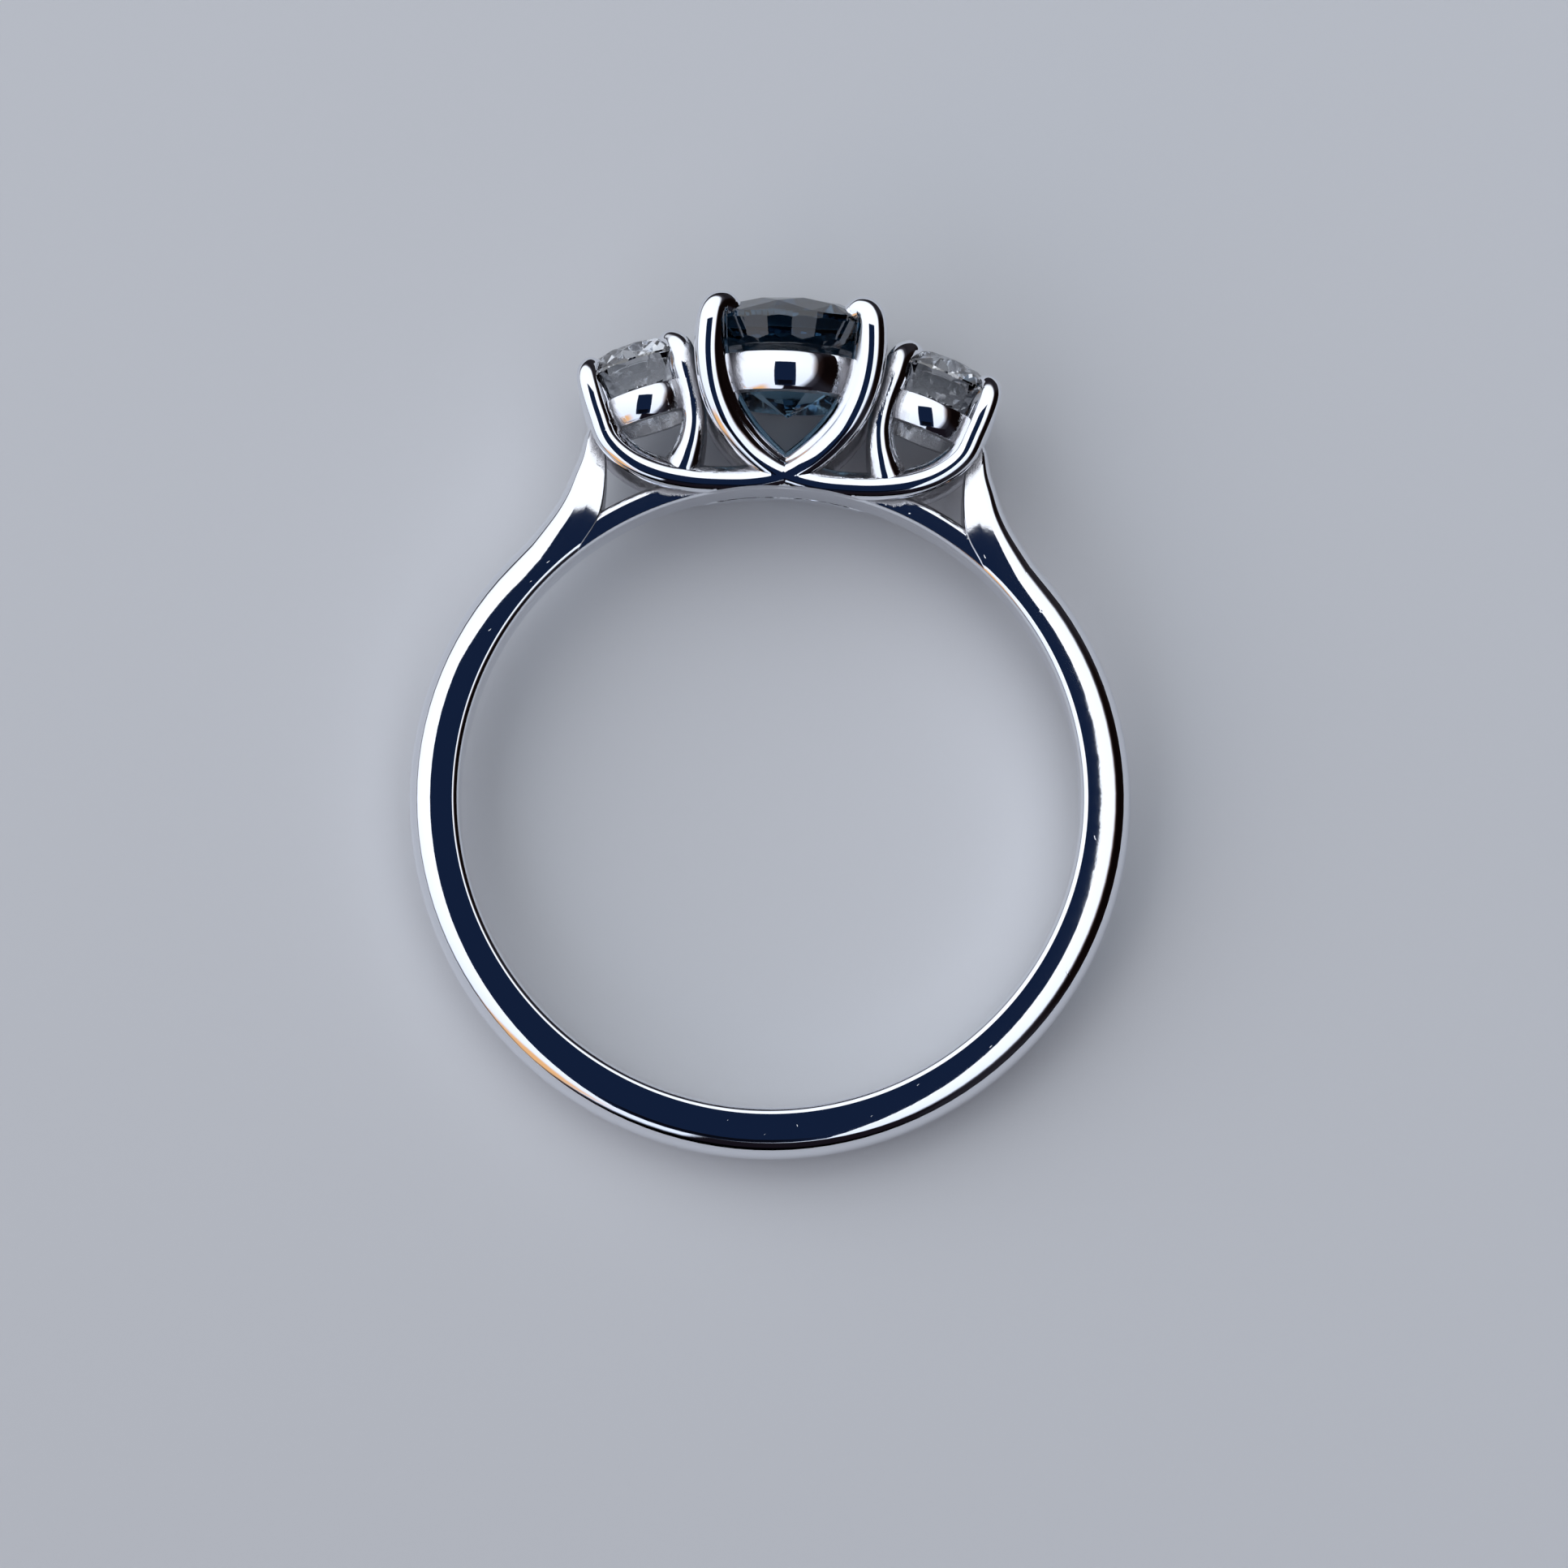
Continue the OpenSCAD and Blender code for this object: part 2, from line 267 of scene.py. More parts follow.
def band_point(station, i):
    """Point of the D section at a station: inner and outer edge, depth of the dome and half width."""
    inner, outer, dome, half_width = station
    where, across = D_SECTION[i]
    span = outer - inner
    corner = 1 - dome / span.length
    share = where * corner if where < 1 else corner + (where - 1) * (1 - corner)
    return inner + span * share + Vector((0, 0, half_width * across))


def shoulder_station(row):
    inner_x, inner_y, outer_x, outer_y, dome, half_width = row
    return (
        Vector((inner_x, HOLE_R + inner_y, 0)),
        Vector((outer_x, HOLE_R + outer_y, 0)),
        dome,
        half_width,
    )


def shank_station(angle):
    """Station of the shank at an angle from the top, thinner towards the neck."""
    thin = 0
    if angle < 90:
        share = (1 - math.sin(math.radians(angle))) / (1 - math.sin(math.radians(NECK_ANGLE)))
        thin = (SHANK_R - NECK_R) * share
    out = Vector((math.sin(math.radians(angle)), math.cos(math.radians(angle)), 0))
    return out * (HOLE_R - HOLE_SPARE), out * (SHANK_R - thin), DOME_DEPTH, FACE_Z


def band(bm):
    """Shank and both shoulders in one sweep, from tip to tip."""
    half = [shoulder_station(row) for row in smooth(SHOULDER, SHOULDER_STEPS)]
    half += [shank_station(angle) for angle in range(SHANK_START, 180, SHANK_STEP)]
    left = [(Vector((-a.x, a.y, 0)), Vector((-b.x, b.y, 0)), dome, w) for a, b, dome, w in reversed(half)]
    stations = half + [shank_station(180)] + left
    loft(bm, stations, len(D_SECTION), band_point)


def bridge(bm):
    """Low arc that closes the hole under the stones."""
    w = FACE_Z - BRIDGE_STEP
    edge = 0.18
    outline = [(HOLE_R - HOLE_SPARE, w), *arc((BRIDGE_R - edge, w - edge), edge, 90, 0, 8)]
    outline += [(r, -z) for r, z in reversed(outline)]

    def point(angle, i):
        r, z = outline[i]
        a = math.radians(angle)
        return Vector((r * math.sin(a), r * math.cos(a), z))

    loft(bm, range(-BRIDGE_ANGLE, BRIDGE_ANGLE + 1), len(outline), point)


def bridge_web(bm):
    """Metal that fills the corner between the bridge and the sweep of a strand."""
    outline = [(2.2, -0.15), (3.4, -0.5), (3.45, 0.12), (2.2, 0.3)]
    half_width = 0.7

    def point(z, i):
        across, above = outline[i]
        return Vector((across, HOLE_R + above, z))

    loft(bm, (-half_width, half_width), len(outline), point)


def bore(bm):
    """What the eased edges of the finger hole take away from the band and the bridge."""
    edge = HOLE_EDGE_R
    over = 0.6
    ease = arc((HOLE_R + edge, FACE_Z - edge), edge, 180, 100, 6)
    half = [
        (HOLE_R - 0.8, FACE_Z + over),
        (HOLE_R + 0.5, FACE_Z + over),
        (HOLE_R + 0.5, FACE_Z + 0.05),
        *reversed(ease),
        (HOLE_R - 0.05, FACE_Z - edge),
    ]
    lathe(bm, half + [(r, -z) for r, z in reversed(half)], HOLE_STEPS)


def strand_stations(rows):
    """Centre, the two directions of the section, radius and swell at each row, with rounded ends."""
    centres = [Vector((row[0], HOLE_R + row[1], row[2])) for row in rows]
    stations = []
    for i, (centre, row) in enumerate(zip(centres, rows)):
        along = (centres[min(i + 1, len(rows) - 1)] - centres[max(i - 1, 0)]).normalized()
        inward = Vector((0, 0, 1)).cross(along).normalized()
        stations.append((centre, inward, along.cross(inward), along, row[3], row[4]))

    def cap(station, sign):
        centre, inward, outward, along, radius, _ = station
        return [
            (centre + along * sign * radius * math.sin(a), inward, outward, along, radius * math.cos(a), 0)
            for a in (math.radians(d) for d in (18, 36, 54, 72, 84))
        ]

    return [*reversed(cap(stations[0], -1)), *stations, *cap(stations[-1], 1)]


def strand_point(station, i):
    centre, inward, outward, _, radius, swell = station
    angle = math.tau * i / STRAND_SIDES
    lobe = swell * max(math.cos(angle - LOBE_ANGLE), 0) ** 2
    keel = KEEL * max(math.cos(angle - KEEL_ANGLE), 0) ** 2
    reach = radius * (1 + lobe + keel)
    return centre + reach * (math.cos(angle) * inward + math.sin(angle) * outward)


def finger(bm):
    """The finger hole, reamed through the band, the bridge and the strands that pass it."""
    bmesh.ops.create_cone(bm, cap_ends=True, segments=HOLE_STEPS, radius1=HOLE_R, radius2=HOLE_R, depth=5)


def strand(bm):
    loft(bm, strand_stations(smooth(STRAND, STRAND_STEPS)), STRAND_SIDES, strand_point)


def inner_claw(bm):
    loft(bm, strand_stations(smooth(INNER_CLAW, CLAW_STEPS)), STRAND_SIDES, strand_point)


def rail(outer, wall, top, bottom):
    """Gallery rail between two depths below the girdle, with a bowed outside that leans in below."""
    edge = 0.04
    bow_r = 1.4 * (bottom - top)
    middle = top + 0.3 * (bottom - top)

    def build(bm):
        depths = [top + edge + (bottom - top - 2 * edge) * k / 12 for k in range(13)]
        bowed = [(outer - bow_r + math.sqrt(bow_r**2 - (d - middle) ** 2), -d) for d in depths]
        first, last = bowed[0], bowed[-1]
        outside = [(first[0] - edge, -top), (first[0] - 0.3 * edge, -top - 0.3 * edge), *bowed]
        outside += [(last[0] - 0.4 * edge, -bottom + 0.3 * edge), (last[0] - 1.2 * edge, -bottom)]
        inside = [(last[0] - wall, -bottom), (outer - wall, -top)]
        lathe(bm, outside + inside, 160)

    return build


def crown_points(cut):
    """Where a crown's facets meet, as (radius, height): girdle, star and table."""
    r, top = cut["r"], cut["girdle"] / 2 + cut["crown"]
    table_r = r * cut["table"]
    star_r = (table_r + r) / 2
    share = (r - star_r * math.cos(math.radians(22.5))) / (r - table_r)
    return (r, cut["girdle"] / 2), (star_r, cut["girdle"] / 2 + cut["crown"] * share), (table_r, top)


def seat(cut):
    """Space that a stone takes out of the claws, with a little clearance all round."""
    gap, low = SEAT_GAP, -cut["girdle"] / 2
    girdle, star, table = crown_points(cut)
    crown = [(0.02, table[1] + gap), *[(r + gap, z + gap) for r, z in (table, star, girdle)]]
    belly_r, belly_z = cut["tiers"][0]
    pavilion = [
        (cut["r"] + gap, low - gap),
        (belly_r + gap, belly_z - gap),
        (0.02, low - cut["pavilion"] - 2 * gap),
    ]
    return lambda bm: lathe(bm, crown + pavilion, 128)


CENTRE_HEAD = Matrix.Translation((0, HOLE_R + SAPPHIRE_RISE, 0)) @ Matrix.Rotation(-math.pi / 2, 4, "X")


def side_head(side):
    return (
        Matrix.Translation((side * SIDE_ACROSS, HOLE_R + SIDE_RISE, 0))
        @ Matrix.Rotation(math.radians(-side * SIDE_LEAN), 4, "Z")
        @ Matrix.Rotation(-math.pi / 2, 4, "X")
    )


SIDE_HEADS = (side_head(-1), side_head(1))


def apply_modifiers(piece):
    """Makes what a piece's modifiers show its own mesh."""
    graph = bpy.context.evaluated_depsgraph_get()
    made = bpy.data.meshes.new_from_object(piece.evaluated_get(graph))
    old = piece.data
    piece.modifiers.clear()
    piece.data = made
    bpy.data.meshes.remove(old)


def boolean(piece, tools, operation):
    """Joins tools to a piece, or cuts them from it, and drops them."""
    for tool in tools:
        step = piece.modifiers.new(tool.name, "BOOLEAN")
        step.operation = operation
        # The exact solver leaves a seat uncut in some runs
        step.solver = "MANIFOLD"
        step.object = tool
    apply_modifiers(piece)
    for tool in tools:
        bpy.data.objects.remove(tool)


def finish_metal(piece):
    """Clean mesh in the row frame, smooth but for its creases."""
    bm = bmesh.new()
    bm.from_mesh(piece.data)
    bmesh.ops.remove_doubles(bm, verts=bm.verts, dist=CLOSE)
    bmesh.ops.dissolve_degenerate(bm, edges=bm.edges, dist=CLOSE)
    bmesh.ops.triangulate(bm, faces=[f for f in bm.faces if len(f.verts) > 4])
    for face in bm.faces:
        face.smooth = True
    for edge in bm.edges:
        edge.smooth = edge.calc_face_angle(math.pi) < math.radians(CREASE)
    bm.to_mesh(piece.data)
    bm.free()
    # Flat sides stay flat up to the edges where they roll over
    piece.modifiers.new("weighted_normals", "WEIGHTED_NORMAL").keep_sharp = True
    apply_modifiers(piece)
    piece.data.transform(TO_ROW)


# Cuts. The table is a share of the diameter, and the tiers are the (radius, height) points below
# the girdle where the pavilion's facets change their slope.
SAPPHIRE = {
    "r": SAPPHIRE_R,
    "girdle": SAPPHIRE_GIRDLE,
    "crown": 0.53,
    "table": 0.58,
    "pavilion": 2.33,
    "tiers": [(SAPPHIRE_R * 0.9, -0.62), (SAPPHIRE_R * 0.74, -1.08)],
}
DIAMOND = {
    "r": DIAMOND_R,
    "girdle": DIAMOND_GIRDLE,
    "crown": 0.48,
    "table": 0.57,
    "pavilion": 1.4,
    "tiers": [(DIAMOND_R * 0.9, -0.2)],
}


def grind(bm, count, turn, first, second):
    """Cuts count flat facets round a stone. Each passes through two points of the profile."""
    for k in range(count):
        azimuth = math.radians(turn) + math.tau * k / count
        out = Vector((math.cos(azimuth), math.sin(azimuth), 0))
        low, high = (out * r + Vector((0, 0, z)) for r, z in (first, second))
        side = Vector((-out.y, out.x, 0))
        normal = (high - low).cross(side).normalized()
        if normal.dot(out) < 0:
            normal.negate()
        cut_away(bm, low, normal)


def cut_away(bm, point, normal):
    """Removes what lies beyond a plane and closes the stone with a flat face."""
    cut = bmesh.ops.bisect_plane(
        bm,
        geom=bm.verts[:] + bm.edges[:] + bm.faces[:],
        dist=1e-5,
        plane_co=point,
        plane_no=normal,
        clear_outer=True,
    )
    edges = [g for g in cut["geom_cut"] if isinstance(g, bmesh.types.BMEdge)]
    if edges:
        bmesh.ops.contextual_create(bm, geom=edges)


def grind_crown(bm, cut):
    """Eight mains, eight stars, sixteen upper facets and the table."""
    half = math.cos(math.radians(22.5))
    quarter = math.cos(math.radians(11.25))
    girdle, star, table = crown_points(cut)
    cut_away(bm, Vector((0, 0, table[1])), Vector((0, 0, 1)))
    grind(bm, 8, 11.25, girdle, table)
    grind(bm, 8, 33.75, star, (table[0] * half, table[1]))
    grind(bm, 16, 0, (girdle[0] * quarter, girdle[1]), (star[0] * quarter, star[1]))


def rough_stone(bm, cut):
    """Round blank that the facets are ground on."""
    above, below = cut["girdle"] + cut["crown"], cut["girdle"] + cut["pavilion"]
    bmesh.ops.create_cone(
        bm,
        cap_ends=True,
        segments=96,
        radius1=cut["r"],
        radius2=cut["r"],
        depth=above + below,
        matrix=Matrix.Translation((0, 0, (above - below) / 2)),
    )


def sapphire(bm):
    """Mixed cut: a brilliant crown over a full pavilion in tiers of narrow facets."""
    cut = SAPPHIRE
    rough_stone(bm, cut)
    grind_crown(bm, cut)
    edge = (cut["r"], -cut["girdle"] / 2)
    first, second = cut["tiers"]
    grind(bm, 24, 7.5, edge, first)
    grind(bm, 24, 0, first, second)
    grind(bm, 8, 7.5, second, (0, edge[1] - cut["pavilion"]))
    finish_stone(bm)


def diamond(bm):
    """Round brilliant."""
    cut = DIAMOND
    rough_stone(bm, cut)
    grind_crown(bm, cut)
    half = math.cos(math.radians(22.5))
    quarter = math.cos(math.radians(11.25))
    r, edge = cut["r"], -cut["girdle"] / 2
    low = edge - cut["pavilion"]
    main_r = r * 0.25
    main_z = low + cut["pavilion"] * main_r * half / r
    grind(bm, 8, 11.25, (r, edge), (0, low))
    grind(bm, 16, 0, (r * quarter, edge), (main_r * quarter, main_z))
    finish_stone(bm)


def finish_stone(bm):
    bmesh.ops.remove_doubles(bm, verts=bm.verts, dist=1e-4)
    bmesh.ops.recalc_face_normals(bm, faces=bm.faces)


def linear(code):
    """Linear colour from an sRGB hex value."""
    parts = [int(code[i : i + 2], 16) / 255 for i in (1, 3, 5)]
    return (*[c / 12.92 if c <= 0.04045 else ((c + 0.055) / 1.055) ** 2.4 for c in parts], 1.0)


def add(tree, kind, settings=None, **links):
    """Adds a node with its settings, given by property or socket name, and links to its inputs."""
    node = tree.nodes.new(kind)
    for key, value in (settings or {}).items():
        if key in node.inputs:
            node.inputs[key].default_value = value
        else:
            setattr(node, key, value)
    for key, source in links.items():
        tree.links.new(source, node.inputs[key.replace("_", " ")])
    return node


def new_material(name):
    material = bpy.data.materials.new(name)
    material.use_nodes = True
    material.node_tree.nodes.clear()
    output = material.node_tree.nodes.new("ShaderNodeOutputMaterial")
    return material, material.node_tree, output


def ring_millimetres(tree):
    """Object coordinates in the ring's own frame, in millimetres, so that patterns have real sizes."""
    place = add(tree, "ShaderNodeTexCoord")
    turn = REST.to_euler()
    return add(
        tree,
        "ShaderNodeMapping",
        {"vector_type": "TEXTURE", "Rotation": tuple(turn), "Scale": (MM, MM, MM)},
        Vector=place.outputs["Object"],
    ).outputs["Vector"]


# How many go into a millimetre: slow waves that a buffing wheel leaves, grains of the orange peel
# in the plating, and pebbles of the cast skin
WAVES = 0.7
PEEL = 7.0
PEBBLES = 15.0
# Nicks: their direction and the size in millimetres of the cell that holds one of them, and the
# radii of their floor and rim as shares of it
NICKS = ((0.4, (0.5, 1.4, 1.0)), (1.3, (0.7, 0.6, 0.8)), (2.3, (0.3, 2.2, 0.9)))
NICK_FLOOR = 0.02
NICK_RIM = 0.05
# Shares of hidden sky between which a point goes from buffed to cast skin, and from the bright colour to
# painted shade
LIT_AND_BUFFED = 0.24
SHADED_AND_UNBUFFED = 0.42
# How far away in millimetres metal keeps the wheel from a point, and the rays that look for it
WHEEL_REACH = 2.0
WHEEL_RAYS = 32


def polished_white_gold():
    """Rhodium-plated 18 carat white gold, buffed by hand.

    A cool grey mirror whose sides are not quite flat, with a few nicks and hairlines. Where the
    buffing wheel could not reach, at the solder joints, the cast skin stays dull and pebbly, and its
    colour is painted darker there as shade in the hollows."""
    material, tree, output = new_material("polished_white_gold")
    place = ring_millimetres(tree)
    waves = add(tree, "ShaderNodeTexNoise", {"Scale": WAVES, "Detail": 1.0}, Vector=place)
    wheel = add(
        tree,
        "ShaderNodeBump",
        {"Strength": 1.0, "Distance": 2.5 * MICRON},
        Height=waves.outputs["Fac"],
    )
    peel = add(tree, "ShaderNodeTexNoise", {"Scale": PEEL, "Detail": 3.0}, Vector=place)
    plating = add(
        tree,
        "ShaderNodeBump",
        {"Strength": 1.0, "Distance": 0.22 * MICRON},
        Height=peel.outputs["Fac"],
        Normal=wheel.outputs["Normal"],
    )
    # Nicks and hairlines, about one to each square millimetre
    nicks = plating
    for turn, stretch in NICKS:
        lean = add(
            tree,
            "ShaderNodeMapping",
            {"vector_type": "TEXTURE", "Rotation": (turn, 0, turn), "Scale": stretch},
            Vector=place,
        )
        cells = add(tree, "ShaderNodeTexVoronoi", {"Scale": 1.0}, Vector=lean.outputs["Vector"])
        pit = add(
            tree,
            "ShaderNodeMapRange",
            {"From Min": NICK_FLOOR, "From Max": NICK_RIM, "To Min": 0.0, "To Max": 1.0},
            Value=cells.outputs["Distance"],
        )
        nicks = add(
            tree,
            "ShaderNodeBump",
            {"Strength": 1.0, "Distance": 1.2 * MICRON},
            Height=pit.outputs["Result"],
            Normal=nicks.outputs["Normal"],
        )
    # Cast skin where the wheel is kept away, in the hollows, where the same mask also paints shade into
    # the colour
    cavity = add(tree, "ShaderNodeAttribute", {"attribute_name": "cavity"})
    unbuffed_and_shaded = add(
        tree,
        "ShaderNodeMapRange",
        {"interpolation_type": "SMOOTHSTEP", "From Min": LIT_AND_BUFFED, "From Max": SHADED_AND_UNBUFFED},
        Value=cavity.outputs["Fac"],
    )
    pebbles = add(
        tree,
        "ShaderNodeTexNoise",
        {"Scale": PEBBLES, "Detail": 4.0, "Roughness": 0.6},
        Vector=place,
    )
    skin = add(tree, "ShaderNodeMath", {"operation": "MULTIPLY"}, Value=pebbles.outputs["Fac"])
    tree.links.new(unbuffed_and_shaded.outputs["Result"], skin.inputs[1])
    surface = add(
        tree,
        "ShaderNodeBump",
        {"Strength": 1.0, "Distance": 18 * MICRON},
        Height=skin.outputs["Value"],
        Normal=nicks.outputs["Normal"],
    )
    dull = add(
        tree, "ShaderNodeMapRange", {"To Min": 0.035, "To Max": 0.3}, Value=unbuffed_and_shaded.outputs["Result"]
    )
    # Painted shade: the base colour goes from bright to a darker grey where the cavity mask is high. This
    # is partly the real cast skin and partly shade painted into the hollows.
    tint_and_shade = add(tree, "ShaderNodeMix", {"data_type": "RGBA"}, Factor=unbuffed_and_shaded.outputs["Result"])
    bright, matt_and_shade = tint_and_shade.inputs[6], tint_and_shade.inputs[7]
    bright.default_value = linear("#F1F3F8")
    matt_and_shade.default_value = linear("#BDBCC0")
    shader = add(
        tree,
        "ShaderNodeBsdfPrincipled",
        {"Metallic": 1.0},
        Base_Color=tint_and_shade.outputs[2],
        Roughness=dull.outputs["Result"],
        Normal=surface.outputs["Normal"],
    )
    tree.links.new(shader.outputs[0], output.inputs["Surface"])
    return material


def sapphire_crystal():
    """Teal sapphire, cut and polished: sharp facets, pale at its thin edges and inky where deep."""
    material, tree, output = new_material("sapphire_crystal")
    shader = add(
        tree,
        "ShaderNodeBsdfPrincipled",
        {"Base Color": linear("#C6D8DE"), "Roughness": 0.0, "IOR": 1.77, "Transmission Weight": 1.0},
    )
    # The density is per metre
    depth = add(tree, "ShaderNodeVolumeAbsorption", {"Color": linear("#81B0C6"), "Density": 560.0})
    tree.links.new(shader.outputs[0], output.inputs["Surface"])
    tree.links.new(depth.outputs[0], output.inputs["Volume"])
    return material


def diamond_crystal():
    """Colourless diamond, cut and polished: bright, sharp facets."""
    material, tree, output = new_material("diamond_crystal")
    shader = add(
        tree,
        "ShaderNodeBsdfPrincipled",
        {"Base Color": linear("#F4F7FA"), "Roughness": 0.0, "IOR": 2.417, "Transmission Weight": 1.0},
    )
    tree.links.new(shader.outputs[0], output.inputs["Surface"])
    return material


def cavity_for_skin_and_shade(mesh):
    """Stores how enclosed each point is: the share of rays that soon meet metal. It marks the cast skin
    and where shade is painted into the metal's colour.
    """
    tree = BVHTree.FromPolygons([v.co for v in mesh.vertices], [p.vertices for p in mesh.polygons])
    golden = math.pi * (3 - math.sqrt(5))
    rays = []
    for k in range(WHEEL_RAYS):
        height = (k + 0.5) / WHEEL_RAYS
        width = math.sqrt(1 - height**2)
        rays.append(Vector((width * math.cos(k * golden), width * math.sin(k * golden), height)))
    cavity = mesh.attributes.new("cavity", "FLOAT", "POINT")
    for vert, value in zip(mesh.vertices, cavity.data):
        turn = Vector((0, 0, 1)).rotation_difference(vert.normal)
        start = vert.co + vert.normal * 0.01 * MM
        hits = sum(tree.ray_cast(start, turn @ ray, WHEEL_REACH * MM)[0] is not None for ray in rays)
        value.value = hits / WHEEL_RAYS


def make_metal():
    metal = part("ring_metal", band)
    boolean(metal, [part("bridge", bridge), part("web", bridge_web, Matrix(), MIRROR_X)], "UNION")
    boolean(metal, [part("bore", bore)], "DIFFERENCE")
    quarters = (Matrix(), MIRROR_X, HALF_TURN, HALF_TURN @ MIRROR_X)
    joined = [part(f"strand_{k}", strand, place) for k, place in enumerate(quarters, 1)]
    joined += [part(f"claw_{k}", inner_claw, place) for k, place in enumerate(quarters, 1)]
    joined += [part("rail", rail(*RAIL), CENTRE_HEAD), part("side_rails", rail(*SIDE_RAIL), *SIDE_HEADS)]
    boolean(metal, joined, "UNION")
    boolean(metal, [part("finger", finger)], "DIFFERENCE")
    seats = [part("seat", seat(SAPPHIRE), CENTRE_HEAD), part("side_seats", seat(DIAMOND), *SIDE_HEADS)]
    boolean(metal, seats, "DIFFERENCE")
    finish_metal(metal)
    cavity_for_skin_and_shade(metal.data)
    metal.data.materials.clear()
    metal.data.materials.append(polished_white_gold())
    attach(metal, "root")
    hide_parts("band_and_setting")


def make_stone(name, build, place, material, node):
    piece = part(name, build, place)
    piece.data.transform(TO_ROW)
    piece.data.materials.append(material)
    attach(piece, "root")
    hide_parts(node)


make_metal()
clear_diamond = diamond_crystal()
make_stone("sapphire", sapphire, CENTRE_HEAD, sapphire_crystal(), "centre_sapphire")
make_stone("diamond_left", diamond, SIDE_HEADS[0], clear_diamond, "left_diamond")
make_stone("diamond_right", diamond, SIDE_HEADS[1], clear_diamond, "right_diamond")


def stage_piece(name, build, material, place):
    """Floor or card, which is not part of the ring."""
    bm = bmesh.new()
    build(bm)
    mesh = bpy.data.meshes.new(name)
    bm.to_mesh(mesh)
    bm.free()
    mesh.transform(place)
    mesh.materials.append(material)
    piece = bpy.data.objects.new(name, mesh)
    bpy.context.scene.collection.objects.link(piece)
    piece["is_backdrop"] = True
    return piece


# Floor: its radius in metres, and how far in millimetres it lies under the ring
FLOOR_R = 1.2
FLOOR_GAP = 0.01

# Cards that the polished metal mirrors. Columns: name, centre and size in millimetres in the ring's
# frame, colour, and the share of the half width over which the light fades out.
CARDS = [
    ("dark_flag", (-17, -34, 160), (87, 160), "#13203A", 0.02),
    ("black_flag", (-17, -62, 156), (84, 126), "#090B14", 0.5),
    ("low_flag", (45, -226, 164), (210, 160), "#17131A", 0.15),
    ("warm_card", (-140, -150, 85), (200, 90), "#F6BE84", 0.7),
]

# Sky: its colours along each axis, from -1 to 1, which are multiplied together. It is turned by some
# degrees so that it reaches lower at the left.
SKY = {
    "Z": [(0.0, "#242226"), (0.3, "#1D1B20"), (0.44, "#3C3A40"), (0.56, "#EFF4FC"), (1.0, "#F7FAFF")],
    "Y": [(-1.0, "#1A1A20"), (-0.9, "#1A1A20"), (-0.8, "#E8EEFA"), (0.0, "#FFFFFF"), (1.0, "#FFFFFF")],
    "X": [(-1.0, "#D8DCE4"), (-0.8, "#FFFFFF"), (0.8, "#FFFFFF"), (0.9, "#96786A"), (1.0, "#6E564C")],
}
SKY_TURN = 25
SKY_STRENGTH = 1.25


def floor():
    """Plain pale floor just under the ring."""
    material, tree, output = new_material("pale_board")
    shader = add(tree, "ShaderNodeBsdfPrincipled", {"Base Color": linear("#E2E4E8"), "Roughness": 0.7})
    tree.links.new(shader.outputs[0], output.inputs["Surface"])
    stage_piece(
        "floor",
        lambda bm: bmesh.ops.create_circle(bm, cap_ends=True, segments=64, radius=FLOOR_R),
        material,
        Matrix.Translation((0, 0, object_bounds()[0].z - FLOOR_GAP * MM)),
    )


def card(name, centre, size, colour, soft):
    """Glowing card that faces the ring and that the camera doesn't see."""
    material, tree, output = new_material(name)
    back = Vector(centre).normalized()
    side = Vector((0, 1, 0)).cross(back).normalized()
    turn = Matrix((side, back.cross(side), back)).transposed().to_4x4()
    place = TO_ROW @ Matrix.Translation(centre) @ turn @ Matrix.Diagonal((*size, 1, 1))
    card_place = add(
        tree,
        "ShaderNodeMapping",
        {
            "vector_type": "TEXTURE",
            "Location": place.to_translation(),
            "Rotation": place.to_euler(),
            "Scale": [x * MM / 2 for x in size] + [1],
        },
        Vector=add(tree, "ShaderNodeTexCoord").outputs["Object"],
    )
    parts = add(tree, "ShaderNodeSeparateXYZ", Vector=card_place.outputs["Vector"])
    inside = None
    for axis in "XY":
        distance = add(tree, "ShaderNodeMath", {"operation": "ABSOLUTE"}, Value=parts.outputs[axis])
        fade = add(
            tree,
            "ShaderNodeMapRange",
            {"interpolation_type": "SMOOTHSTEP", "From Min": 1.0, "From Max": 1.0 - soft},
            Value=distance.outputs["Value"],
        )
        if inside is None:
            inside = fade.outputs["Result"]
        else:
            both = add(tree, "ShaderNodeMath", {"operation": "MULTIPLY"}, Value=inside)
            tree.links.new(fade.outputs["Result"], both.inputs[1])
            inside = both.outputs["Value"]
    glow = add(tree, "ShaderNodeEmission", {"Color": linear(colour), "Strength": 1.0})
    clear = add(tree, "ShaderNodeBsdfTransparent")
    shader = add(tree, "ShaderNodeMixShader", Fac=inside)
    tree.links.new(clear.outputs[0], shader.inputs[1])
    tree.links.new(glow.outputs[0], shader.inputs[2])
    tree.links.new(shader.outputs[0], output.inputs["Surface"])
    piece = stage_piece(
        name, lambda bm: bmesh.ops.create_grid(bm, x_segments=1, y_segments=1, size=0.5), material, place
    )
    piece.visible_camera = False


# Camera: its distance from the hole's centre in millimetres, and in degrees its lean towards the
# bottom of the shank and its roll
CAMERA_DISTANCE = 150.0
CAMERA_LEAN = 6.1
CAMERA_ROLL = 2.6
# Picture: its width, the scale at the ring, and where the hole's centre lies right of and below the
# picture's middle, in pixels
PICTURE_PIXELS = 1932
PIXELS_PER_MM = 46.27
HOLE_OFF_CENTRE = (-17, 18.6)


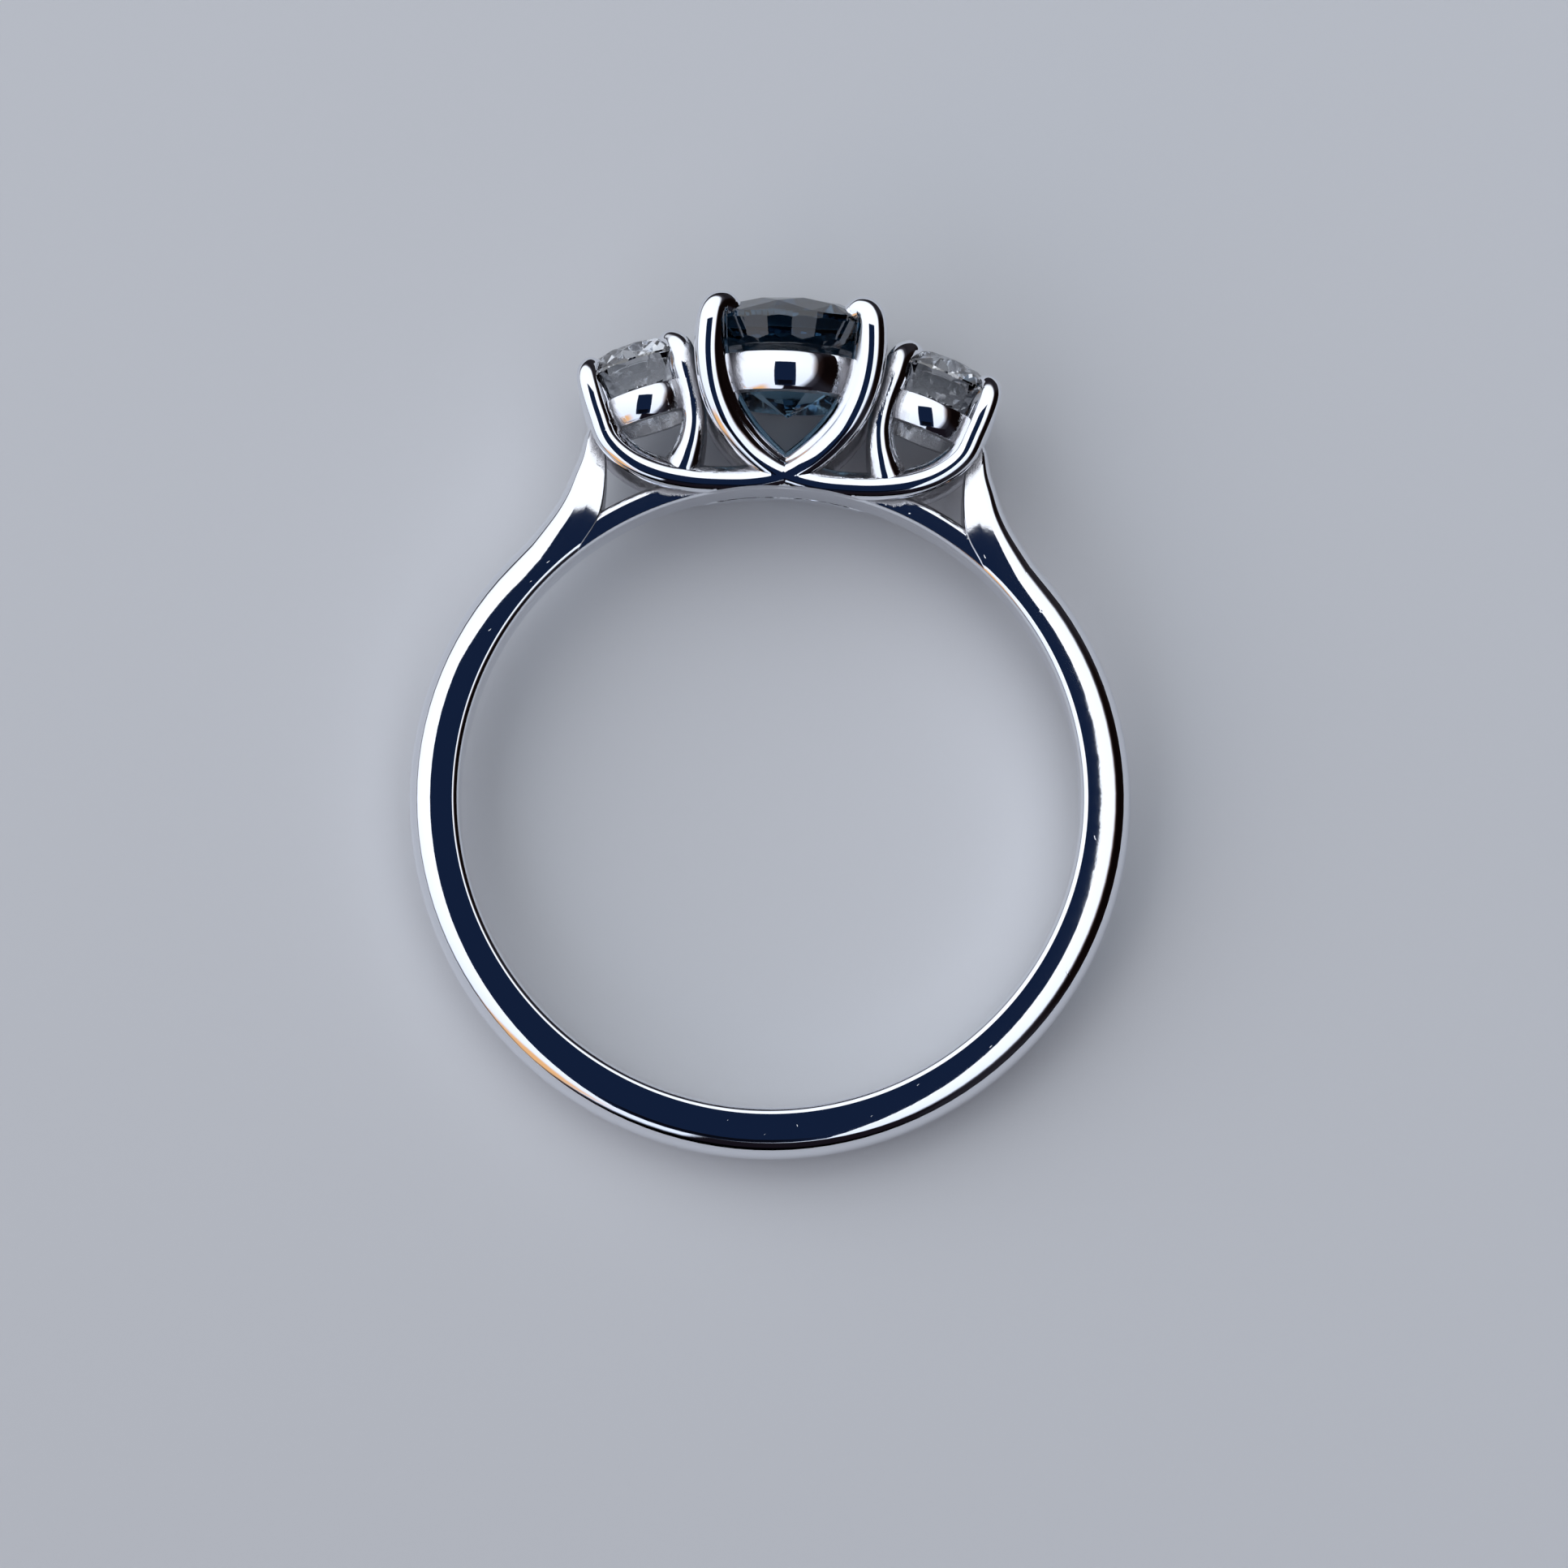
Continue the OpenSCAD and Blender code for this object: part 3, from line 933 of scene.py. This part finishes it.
def camera():
    data = bpy.data.cameras.new("camera")
    data.sensor_width = 36
    data.lens = data.sensor_width * CAMERA_DISTANCE * PIXELS_PER_MM / PICTURE_PIXELS
    data.clip_start = 0.001
    data.clip_end = 10
    lean, roll = math.radians(CAMERA_LEAN), math.radians(CAMERA_ROLL)
    spot = Vector((0, -CAMERA_DISTANCE * math.sin(lean), CAMERA_DISTANCE * math.cos(lean)))
    turn = Matrix.Rotation(lean, 4, "X") @ Matrix.Rotation(roll, 4, "Z")
    across, up = (math.atan(shift / PIXELS_PER_MM / CAMERA_DISTANCE) for shift in HOLE_OFF_CENTRE)
    aim = Matrix.Rotation(across, 4, "Y") @ Matrix.Rotation(up, 4, "X")
    piece = bpy.data.objects.new("camera", data)
    bpy.context.scene.collection.objects.link(piece)
    piece.matrix_world = REST @ Matrix.Translation(spot * MM) @ turn @ aim
    bpy.context.scene.camera = piece


def studio():
    """Soft light from a wide sky overhead, with dark walls round it and below."""
    sky = bpy.data.worlds.new("studio")
    bpy.context.scene.world = sky
    sky.use_nodes = True
    tree = sky.node_tree
    tree.nodes.clear()
    output = tree.nodes.new("ShaderNodeOutputWorld")
    direction = add(tree, "ShaderNodeTexCoord")
    lean = add(
        tree,
        "ShaderNodeMapping",
        {"Rotation": (0, math.radians(SKY_TURN), 0)},
        Vector=direction.outputs["Generated"],
    )
    parts = add(tree, "ShaderNodeSeparateXYZ", Vector=lean.outputs["Vector"])
    colour = None
    for axis, stops in SKY.items():
        ramp = add(tree, "ShaderNodeValToRGB")
        along = add(
            tree, "ShaderNodeMapRange", {"From Min": -1.0, "From Max": 1.0}, Value=parts.outputs[axis]
        )
        tree.links.new(along.outputs["Result"], ramp.inputs["Fac"])
        elements = ramp.color_ramp.elements
        for element, (position, code) in zip(elements, (stops[0], stops[-1])):
            element.position = (position + 1) / 2
            element.color = linear(code)
        for position, code in stops[1:-1]:
            elements.new((position + 1) / 2).color = linear(code)
        if colour is None:
            colour = ramp.outputs["Color"]
        else:
            both = add(
                tree, "ShaderNodeMix", {"data_type": "RGBA", "blend_type": "MULTIPLY", "Factor": 1.0}
            )
            tree.links.new(colour, both.inputs[6])
            tree.links.new(ramp.outputs["Color"], both.inputs[7])
            colour = both.outputs[2]
    background = add(tree, "ShaderNodeBackground", {"Strength": SKY_STRENGTH}, Color=colour)
    tree.links.new(background.outputs[0], output.inputs["Surface"])


floor()
camera()
studio()
for row in CARDS:
    card(*row)
bpy.context.scene.view_settings.view_transform = "Standard"
